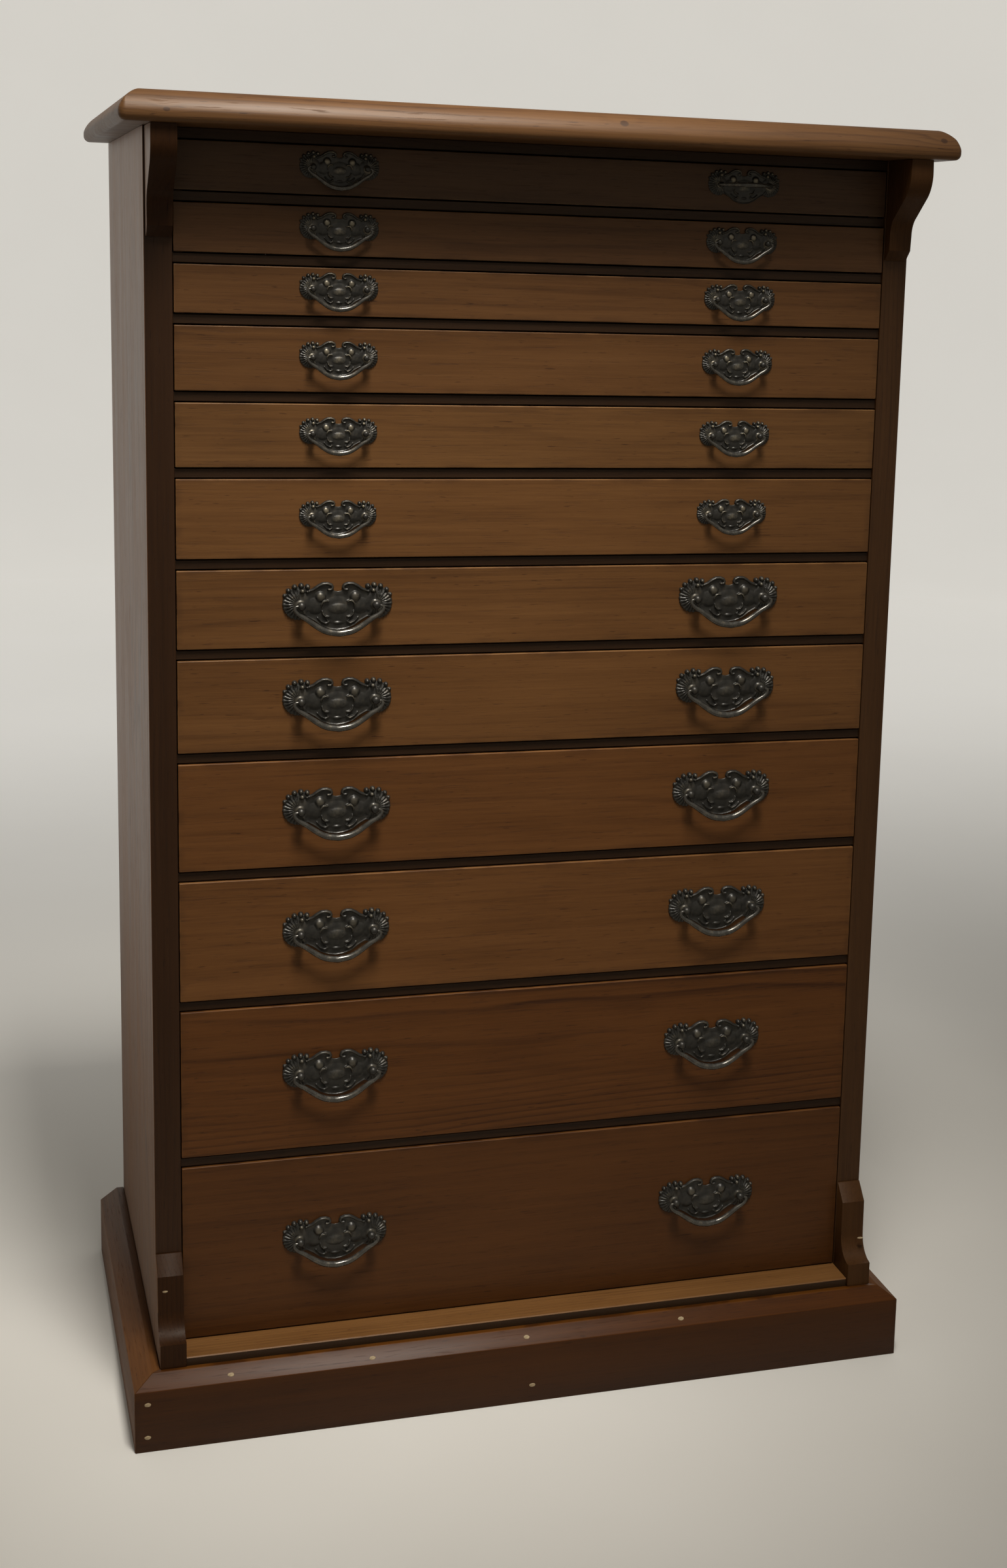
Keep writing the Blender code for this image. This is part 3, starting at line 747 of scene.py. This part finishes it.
def make_fixings(number, material):
    """The square nuts and bolt ends inside a drawer's front that hold its four posts."""
    scale = handle_scale(number)
    inside = drawer_front_box(number)[1].y
    pivot_z = pivot_height(number)
    half, bolt = NUT_HALF * scale, BOLT_RADIUS * scale
    bm = bmesh.new()
    for handle in (-HANDLE_X, HANDLE_X):
        for end in (-1, 1):
            x = handle + end * POST_SPACING * MM * scale
            add_box(bm, (x - half, inside, pivot_z - half),
                    (x + half, inside + NUT_THICKNESS, pivot_z + half))
            made = bmesh.ops.create_cone(bm, cap_ends=True, segments=16, radius1=bolt, radius2=bolt * 0.8,
                                         depth=BOLT_LENGTH)
            for vert in made["verts"]:
                vert.co = (vert.co.x + x, inside + NUT_THICKNESS + vert.co.z, vert.co.y + pivot_z)
    item = new_object(f"nuts_{number:02d}", mesh_from_bmesh("nuts", bm), material)
    finish_piece(item, f"drawer_{number:02d}")


def tray_material():
    s = Shader("bare_tray_pine")
    coordinates = s.node("TexCoord").outputs["Object"]
    fibre = s.noise(s.scaled(coordinates, (9.0, 9.0, 300.0)), 1.0, 4.0, 0.6)
    cloud = s.noise(coordinates, 9.0, 4.0)
    value = s.math("ADD", s.math("MULTIPLY", fibre, 0.5), s.math("MULTIPLY", cloud, 0.5))
    colour = s.ramp(value, [(0.3, (0.30, 0.17, 0.075)), (0.5, (0.43, 0.27, 0.13)), (0.7, (0.52, 0.35, 0.18))])
    s.put(s.principled.inputs["Base Color"], colour)
    s.principled.inputs["Roughness"].default_value = 0.7
    s.bump(fibre, 0.3, 0.2 * MM)
    return s.material


def dress_node(node, material):
    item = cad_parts[node]
    item.data.materials.clear()
    item.data.materials.append(material)


# ---------------------------------------------------------------- case

BACK_BOARDS = 5
CORBEL_BOTTOM = 1.2325
TOP_NOSE = 20.5 * MM
TOP_FLATNESS = 1.3               # 1 is a round nose and 2 a plain chamfer
NOSE_STEPS = 16
TOP_UNDERCUT = 6.5 * MM
TOP_CORNER = 7.0 * MM            # rounding of the front corners, seen from above
# A corbel and a foot bracket, by how far out of the case's front and how high. An arc is (centre, radii).
CORBEL_REACH = 0.060
CORBEL_ROUND = ((0.028, 1.322), (0.032, 0.032))
CORBEL_HOLLOW = ((0.035, 1.259), (0.022, 0.022))
FOOT_REACH = 0.042
FOOT_HOLLOW = ((FOOT_REACH, 0.133), (0.024, 0.026))
FRAME_TONE = (0.43, 0.39, 0.34)
LEFT_STILE_TONE = (0.22, 0.17, 0.12)


def rail_spans():
    """(low, high) of each rail between drawers, and of the top rail."""
    spans = []
    for number in range(1, 12):
        above = drawer_front_box(number)[0].z
        spans.append((above - FRONT_CLEARANCE - RAIL_HEIGHT, above - FRONT_CLEARANCE))
    top = drawer_front_box(1)[1].z + FRONT_CLEARANCE
    return spans, (top, CASE_TOP)


def dress_outer_face(item, side, material):
    """Give a piece's face on the outside of the case the finish of the side board that it is flush with."""
    item.data.materials.append(material)
    for polygon in item.data.polygons:
        if polygon.normal.x * side > 0.5:
            polygon.material_index = 1


def make_face_frame(side_wood):
    back = CASE_FRONT + STILE_DEPTH
    for name, side, tone in (("left", -1, LEFT_STILE_TONE), ("right", 1, FRAME_TONE)):
        edges = sorted((side * OPENING_HALF, side * CASE_HALF))
        low, high = (edges[0], CASE_FRONT, 0.0), (edges[1], back, CASE_TOP)
        wood = pine(f"stile_{name}_wood", "Z", 21.3 + side, tone, figure=0.2)
        stile = board(f"stile_{name}", low, high, wood, "cabinet", "frame_pine", 0.7 * MM,
                      ["face_frame"] if side < 0 else [])
        dress_outer_face(stile, side, side_wood)
    spans, top_rail = rail_spans()
    # The rails are painted very dark: painted shade for their place, set back between the drawer fronts.
    wood = pine("rail_wood_painted_shade", "X", 31.7, (0.20, 0.185, 0.18), figure=0.2)
    for number, (low_z, high_z) in enumerate(spans, start=1):
        board(f"rail_{number:02d}", (-OPENING_HALF, CASE_FRONT + RAIL_RECESS, low_z),
              (OPENING_HALF, CASE_FRONT + RAIL_DEPTH, high_z), wood, "cabinet", "frame_pine", 0.6 * MM)
    board("top_rail", (-OPENING_HALF, CASE_FRONT + RAIL_RECESS, top_rail[0]),
          (OPENING_HALF, CASE_FRONT + RAIL_DEPTH, top_rail[1]), wood, "cabinet", "frame_pine", 0.6 * MM)


def top_board_ring(low, high, inset, z):
    """The top board's plan at one height: inset on the front and both sides, its front corners rounded."""
    radius = max(TOP_CORNER - inset, 1.0 * MM)
    left, right, front = low.x + inset, high.x - inset, low.y + inset
    plan = [(left, high.y)]
    plan += arc((left + radius, front + radius), (radius, radius), 180, 270, 10)
    plan += arc((right - radius, front + radius), (radius, radius), 270, 360, 10)
    plan.append((right, high.y))
    return [(x, y, z) for x, y in plan]


def make_top_board():
    """The top board, its nose rounded over and undercut on the front and both sides."""
    low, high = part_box("top_board")
    profile = arc((TOP_UNDERCUT, low.z + TOP_UNDERCUT), (TOP_UNDERCUT, TOP_UNDERCUT), 270, 180, 6)
    for i in range(NOSE_STEPS + 1):
        angle = math.radians(90.0 * i / NOSE_STEPS)
        inset = TOP_NOSE * (1.0 - math.cos(angle) ** TOP_FLATNESS)
        profile.append((inset, high.z - TOP_NOSE * (1.0 - math.sin(angle) ** TOP_FLATNESS)))
    bm = bmesh.new()
    rings = []
    for inset, z in profile:
        rings.append([bm.verts.new(point) for point in top_board_ring(low, high, inset, z)])
    count = len(rings[0])
    for below, above in zip(rings, rings[1:]):
        for i in range(count):
            j = (i + 1) % count
            bm.faces.new((below[i], below[j], above[j], above[i]))
    bm.faces.new(rings[0])
    bm.faces.new(rings[-1])
    wood = pine("top_wood", "X", 11.9, (0.94, 0.92, 0.86), figure=0.30, roughness=0.50, specular=0.28,
                knots=[(-0.3815, 1.3475, 2.2 * MM), (0.4045, 1.355, 2.6 * MM), (0.06, 1.356, 3.0 * MM)])
    item = new_object("top_board_moulded", mesh_from_bmesh("top_board_moulded", bm), wood)
    smooth(item, 40)
    finish_piece(item, "cabinet", ["top_board"])


def mitred_board(name, corners, material, replaces=()):
    """A plinth board from the four plan corners of its foot; its outer top edge is chamfered.

    corners are outer start, outer end, inner end, inner start.
    """
    low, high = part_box("plinth")
    (ax, ay), (bx, by), (cx, cy), (dx, dy) = corners
    bm = bmesh.new()

    def inward(point, towards, share):
        return (point[0] + (towards[0] - point[0]) * share, point[1] + (towards[1] - point[1]) * share)

    share = PLINTH_CHAMFER / PLINTH_BOARD
    a_top = inward((ax, ay), (dx, dy), share)
    b_top = inward((bx, by), (cx, cy), share)
    outer = [bm.verts.new((x, y, low.z)) for x, y in ((ax, ay), (bx, by))]
    shoulder = [bm.verts.new((x, y, high.z - PLINTH_CHAMFER)) for x, y in ((bx, by), (ax, ay))]
    crest = [bm.verts.new((x, y, high.z)) for x, y in (b_top, a_top)]
    inner_top = [bm.verts.new((x, y, high.z)) for x, y in ((cx, cy), (dx, dy))]
    inner_low = [bm.verts.new((x, y, low.z)) for x, y in ((cx, cy), (dx, dy))]
    bm.faces.new((outer[0], outer[1], shoulder[0], shoulder[1]))
    bm.faces.new((shoulder[1], shoulder[0], crest[0], crest[1]))
    bm.faces.new((crest[1], crest[0], inner_top[0], inner_top[1]))
    bm.faces.new((inner_top[1], inner_top[0], inner_low[0], inner_low[1]))
    bm.faces.new((outer[1], outer[0], inner_low[1], inner_low[0]))
    bm.faces.new((outer[0], shoulder[1], crest[1], inner_top[1], inner_low[1]))
    bm.faces.new((outer[1], inner_low[0], inner_top[0], crest[0], shoulder[0]))
    bmesh.ops.recalc_face_normals(bm, faces=bm.faces)
    bmesh.ops.bevel(bm, geom=list(bm.edges), offset=0.7 * MM, segments=2, profile=0.5, affect="EDGES")
    item = new_object(name, mesh_from_bmesh(name, bm), material)
    smooth(item, 30)
    finish_piece(item, "cabinet", replaces)


def make_plinth():
    low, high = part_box("plinth")
    side_thick = high.x - CASE_HALF - GAP
    # The plinth front is painted darker below its chamfer: painted shade.
    front_wood = pine("plinth_front_wood", "X", 41.1, (0.54, 0.35, 0.10), figure=0.2, specular=0.12,
                      coat=0.12, darkening=(high.z - PLINTH_CHAMFER, 0.35),
                      edges=(low, Vector((high.x, low.y + PLINTH_BOARD, high.z))))
    side_wood = pine("plinth_side_wood", "Y", 43.9, (0.84, 0.68, 0.44), figure=0.2, roughness=0.60,
                     specular=0.15)
    inner_x, inner_y = high.x - side_thick, low.y + PLINTH_BOARD
    seam = 0.12 * MM
    mitred_board("plinth_front", [(low.x + seam, low.y), (high.x - seam, low.y), (inner_x - seam, inner_y),
                                  (-inner_x + seam, inner_y)], front_wood, ["plinth"])
    for name, side in (("left", -1), ("right", 1)):
        corners = [(side * high.x, low.y + seam), (side * high.x, high.y), (side * inner_x, high.y),
                   (side * inner_x, inner_y + seam)]
        mitred_board("plinth_" + name, corners, side_wood)


def corbel_outline():
    face = CASE_FRONT - GAP
    points = [(0.0, CORBEL_BOTTOM), (0.0, CASE_TOP), (CORBEL_REACH, CASE_TOP)]
    points += arc(*CORBEL_ROUND, 0, -55, 14)
    points += arc(*CORBEL_HOLLOW, 125, 180, 10)
    points += [(0.0125, 1.243), (0.002, CORBEL_BOTTOM)]
    return [(face - out, z) for out, z in points]


def foot_outline():
    face = CASE_FRONT - GAP
    low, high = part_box("foot_bracket_left")
    points = [(0.0, high.z), (0.0, low.z), (FOOT_REACH, low.z)]
    points += arc(*FOOT_HOLLOW, -90, -180, 14)
    points += [(0.018, 0.172), (0.0015, high.z)]
    return [(face - out, z) for out, z in points]


def make_brackets(side_wood):
    for name, side in (("left", -1), ("right", 1)):
        tone = LEFT_STILE_TONE if side < 0 else FRAME_TONE
        wood = pine(f"bracket_{name}_wood", "Z", 51.0 + side, tone, figure=0.2, specular=0.12)
        for kind, outline in (("corbel", corbel_outline()), ("foot_bracket", foot_outline())):
            low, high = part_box(f"{kind}_{name}")
            sawn = bevelled_prism(f"{kind}_{name}_sawn", outline, low.x, high.x, 0.9 * MM, wood, "cabinet",
                                  [f"{kind}_{name}"])
            dress_outer_face(sawn, side, side_wood)


def make_back():
    """The back, as upright boards nailed on side by side."""
    low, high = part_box("back_panel")
    width = (high.x - low.x) / BACK_BOARDS
    for number in range(BACK_BOARDS):
        left = low.x + number * width
        corners = (left + GAP, low.y, low.z), (left + width - GAP, high.y, high.z)
        name = f"back_board_{number + 1}"
        knot = (0.25 + 0.33 * ((number * 7) % 3), left + 0.06, 6.0 * MM)
        wood = pine(name, "Z", 81.0 + 1.7 * number, (1.25, 1.30, 1.45), figure=0.34, rings=150.0,
                    roughness=0.72, specular=0.2, knots=[knot])
        board(name, *corners, wood, "cabinet", "case_pine", 1.2 * MM, ["back_panel"] if number == 0 else [])


def make_side_wood():
    # The sides are painted darker towards the floor: painted shade.
    return pine("side_wood", "Z", 61.2, (1.70, 1.45, 1.05), figure=0.34, roughness=0.46, specular=0.5,
                low_shade=0.6)


def dress_case_nodes(side_wood):
    dress_node("left_side", side_wood)
    dress_node("right_side", side_wood)
    # The sill's front face, below its top, is painted almost black: painted shade.
    dress_node("front_sill", pine("sill_wood", "X", 71.4, (1.25, 1.22, 1.0), figure=0.2,
                                  darkening=(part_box("front_sill")[1].z - 0.6 * MM, 0.9)))
    dress_node("base_board", tray_material())


def make_boxes():
    bare = (2.9, 3.6, 4.8)
    unwaxed = {"roughness": 0.7, "specular": 0.2}
    materials = {
        "side": pine("drawer_side_wood", "Y", 91.3, bare, figure=0.25, **unwaxed),
        "back": pine("drawer_back_wood", "X", 93.8, bare, figure=0.25, **unwaxed),
        "bottom": pine("drawer_bottom_wood", "X", 97.1, (3.1, 4.0, 5.6), figure=0.3, **unwaxed),
    }
    nuts = bronze_material("nut_brass", 0.2)
    for number in DRAWERS:
        make_drawer_box(number, materials)
        make_fixings(number, nuts)


# Nail holes stopped with pale filler. In millimetres: across, height, how far out of the case's front.
# Then how far the face tilts back, in degrees.
FILLED_HOLES = [
    (-412.7, 53.0, 60.0, 0), (-413.1, 16.4, 60.0, 0), (-3.7, 19.6, 60.0, 0),
    (-327.2, 72.6, 54.4, 45), (-178.7, 72.0, 55.0, 45), (-9.6, 73.4, 53.6, 45), (167.0, 73.0, 54.0, 45),
    (391.0, 131.3, 27.0, 90), (-390.1, 156.5, 18.0, 12),
]


def filler_material():
    s = Shader("nail_hole_filler")
    coordinates = s.node("TexCoord").outputs["Object"]
    speckle = s.noise(coordinates, 700.0, 3.0)
    colour = s.ramp(speckle, [(0.35, (0.22, 0.15, 0.075)), (0.65, (0.33, 0.25, 0.14))])
    s.put(s.principled.inputs["Base Color"], colour)
    s.principled.inputs["Roughness"].default_value = 0.75
    s.bump(speckle, 0.4, 0.2 * MM)
    return s.material


def fill_nail_holes():
    """A smear of filler over each nail, slightly proud and not quite round."""
    material = filler_material()
    for number, (x, z, out, tilt) in enumerate(FILLED_HOLES, start=1):
        bm = bmesh.new()
        made = bmesh.ops.create_uvsphere(bm, u_segments=18, v_segments=8, radius=1.0)
        for vert in made["verts"]:
            ragged = 1.0 + 0.14 * noise.noise(Vector((vert.co.x * 2, vert.co.y * 2, number * 3.1)))
            vert.co = Vector((vert.co.x * 3.4 * ragged, vert.co.y * 2.2 * ragged, vert.co.z * 0.35)) * MM
        item = new_object(f"filled_hole_{number:02d}", mesh_from_bmesh("filled_hole", bm), material)
        item.location = (x * MM, CASE_FRONT - out * MM, z * MM)
        item.rotation_euler = (math.radians(90 - tilt), 0.0, 0.0)
        item.data.shade_smooth()
        finish_piece(item, "cabinet")


# ---------------------------------------------------------------- studio

CAMERA_PLACE = (-0.588, -2.3637, 1.223)
CAMERA_HEADING = -0.3163         # about Z, radians: turned to the right of the case's depth axis
CAMERA_TILT = -0.1881            # about X: looking down
CAMERA_ROLL = -0.0317            # about the line of sight
LENS = 78.39                     # millimetres, on a 36 mm wide sensor
LENS_SHIFT = (-0.1468, -0.1034)

FLOOR_RADIUS = 6.0               # the flat part
SWEEP_RADIUS = 3.0
WALL_HEIGHT = 6.0
FLOOR_SIDES = 96
GLOW_COLOUR = (1.0, 0.985, 0.945, 1.0)
GLOW_BEHIND = 0.42
GLOW_IN_FRONT = 0.13

KEY_PLACE = (-0.12, -1.2, 3.3)
KEY_TARGET = (-0.14, -0.18, 0.98)
KEY_SIZE = (0.45, 1.0)
KEY_POWER = 7.7
KEY_COLOUR = (1.0, 0.98, 0.95)
KEY_SPREAD = 42.0                # degrees
SKY_COLOUR = (1.0, 0.98, 0.94, 1.0)
SKY_STRENGTH = 0.21


def make_camera():
    data = bpy.data.cameras.new("camera")
    camera = bpy.data.objects.new("camera", data)
    bpy.context.scene.collection.objects.link(camera)
    turn = (Matrix.Rotation(CAMERA_HEADING, 4, "Z") @ Matrix.Rotation(CAMERA_TILT, 4, "X")
            @ Matrix.Rotation(CAMERA_ROLL, 4, "Y"))
    to_view = Matrix.Rotation(math.pi / 2, 4, "X")
    camera.matrix_world = Matrix.Translation(CAMERA_PLACE) @ turn @ to_view
    data.sensor_fit = "HORIZONTAL"
    data.sensor_width = 36.0
    data.lens = LENS
    data.shift_x, data.shift_y = LENS_SHIFT
    data.clip_end = 100.0
    data.dof.use_dof = False
    bpy.context.scene.camera = camera


def floor_mesh():
    """A round floor that sweeps up into a wall on every side, its faces turned to the cabinet."""
    sweep = arc((FLOOR_RADIUS, SWEEP_RADIUS), (SWEEP_RADIUS, SWEEP_RADIUS), -90, 0, 16)
    profile = [(2.0, 0.0), (FLOOR_RADIUS, 0.0)] + sweep + [(FLOOR_RADIUS + SWEEP_RADIUS, WALL_HEIGHT)]
    turns = [2 * math.pi * k / FLOOR_SIDES for k in range(FLOOR_SIDES)]
    bm = bmesh.new()
    rings = []
    for radius, z in profile:
        rings.append([bm.verts.new((radius * math.cos(turn), radius * math.sin(turn), z)) for turn in turns])
    bm.faces.new(rings[0])
    for low, high in zip(rings, rings[1:]):
        for k in range(FLOOR_SIDES):
            after = (k + 1) % FLOOR_SIDES
            bm.faces.new((low[k], high[k], high[after], low[after]))
    mesh = bpy.data.meshes.new("floor")
    bm.to_mesh(mesh)
    bm.free()
    mesh.shade_smooth()
    return mesh


def floor_material():
    """A pale floor that glows softly behind the cabinet, and fainter far in front of it."""
    s = Shader("pale_floor")
    place = s.node("TexCoord").outputs["Object"]
    mottling = s.noise(place, 2.0, 3.0)
    s.put(s.principled.inputs["Base Color"],
          s.ramp(mottling, [(0.3, (0.60, 0.57, 0.51)), (0.7, (0.63, 0.60, 0.54))]))
    s.principled.inputs["Roughness"].default_value = 0.8
    split = s.node("SeparateXYZ")
    s.put(split.inputs[0], place)
    s.principled.inputs["Emission Color"].default_value = GLOW_COLOUR
    behind = s.remap(split.outputs[1], -0.2, 3.6, 0.0, GLOW_BEHIND)
    in_front = s.remap(split.outputs[1], -4.5, -1.2, GLOW_IN_FRONT, 0.0)
    s.put(s.principled.inputs["Emission Strength"], s.math("ADD", behind, in_front))
    return s.material


def make_studio():
    new_object("floor", floor_mesh(), floor_material())


def make_key_light():
    """One narrow lamp high in front, so that the top board shades the upper drawers."""
    data = bpy.data.lights.new("key", "AREA")
    data.shape = "RECTANGLE"
    data.size, data.size_y = KEY_SIZE
    data.energy = KEY_POWER
    data.color = KEY_COLOUR
    data.spread = math.radians(KEY_SPREAD)
    light = bpy.data.objects.new("key", data)
    bpy.context.scene.collection.objects.link(light)
    light.location = KEY_PLACE
    aim = Vector(KEY_TARGET) - Vector(KEY_PLACE)
    light.rotation_euler = aim.to_track_quat("-Z", "Y").to_euler()


def make_lights():
    make_key_light()
    world = bpy.data.worlds.new("studio")
    world.use_nodes = True
    sky = world.node_tree.nodes["Background"]
    sky.inputs["Color"].default_value = SKY_COLOUR
    sky.inputs["Strength"].default_value = SKY_STRENGTH
    bpy.context.scene.world = world
    bpy.context.scene.view_settings.view_transform = "Standard"


# ---------------------------------------------------------------- assembly

make_camera()
make_studio()
make_lights()
make_top_board()
SIDE_WOOD = make_side_wood()
make_face_frame(SIDE_WOOD)
make_plinth()
make_brackets(SIDE_WOOD)
make_back()
dress_case_nodes(SIDE_WOOD)
make_drawers()
make_boxes()
fill_nail_holes()
PLATE = cast_plate_mesh()
PLATE.materials.append(None)
BAIL = bail_mesh()
BAIL.materials.append(None)
place_handles(PLATE, BAIL, {"large": bronze_material("bronze_large", 0.25),
                            "small": bronze_material("bronze_small", 0.75),
                            "bail": bronze_material("bronze_bail", 0.0, 0.15, 2.2)})
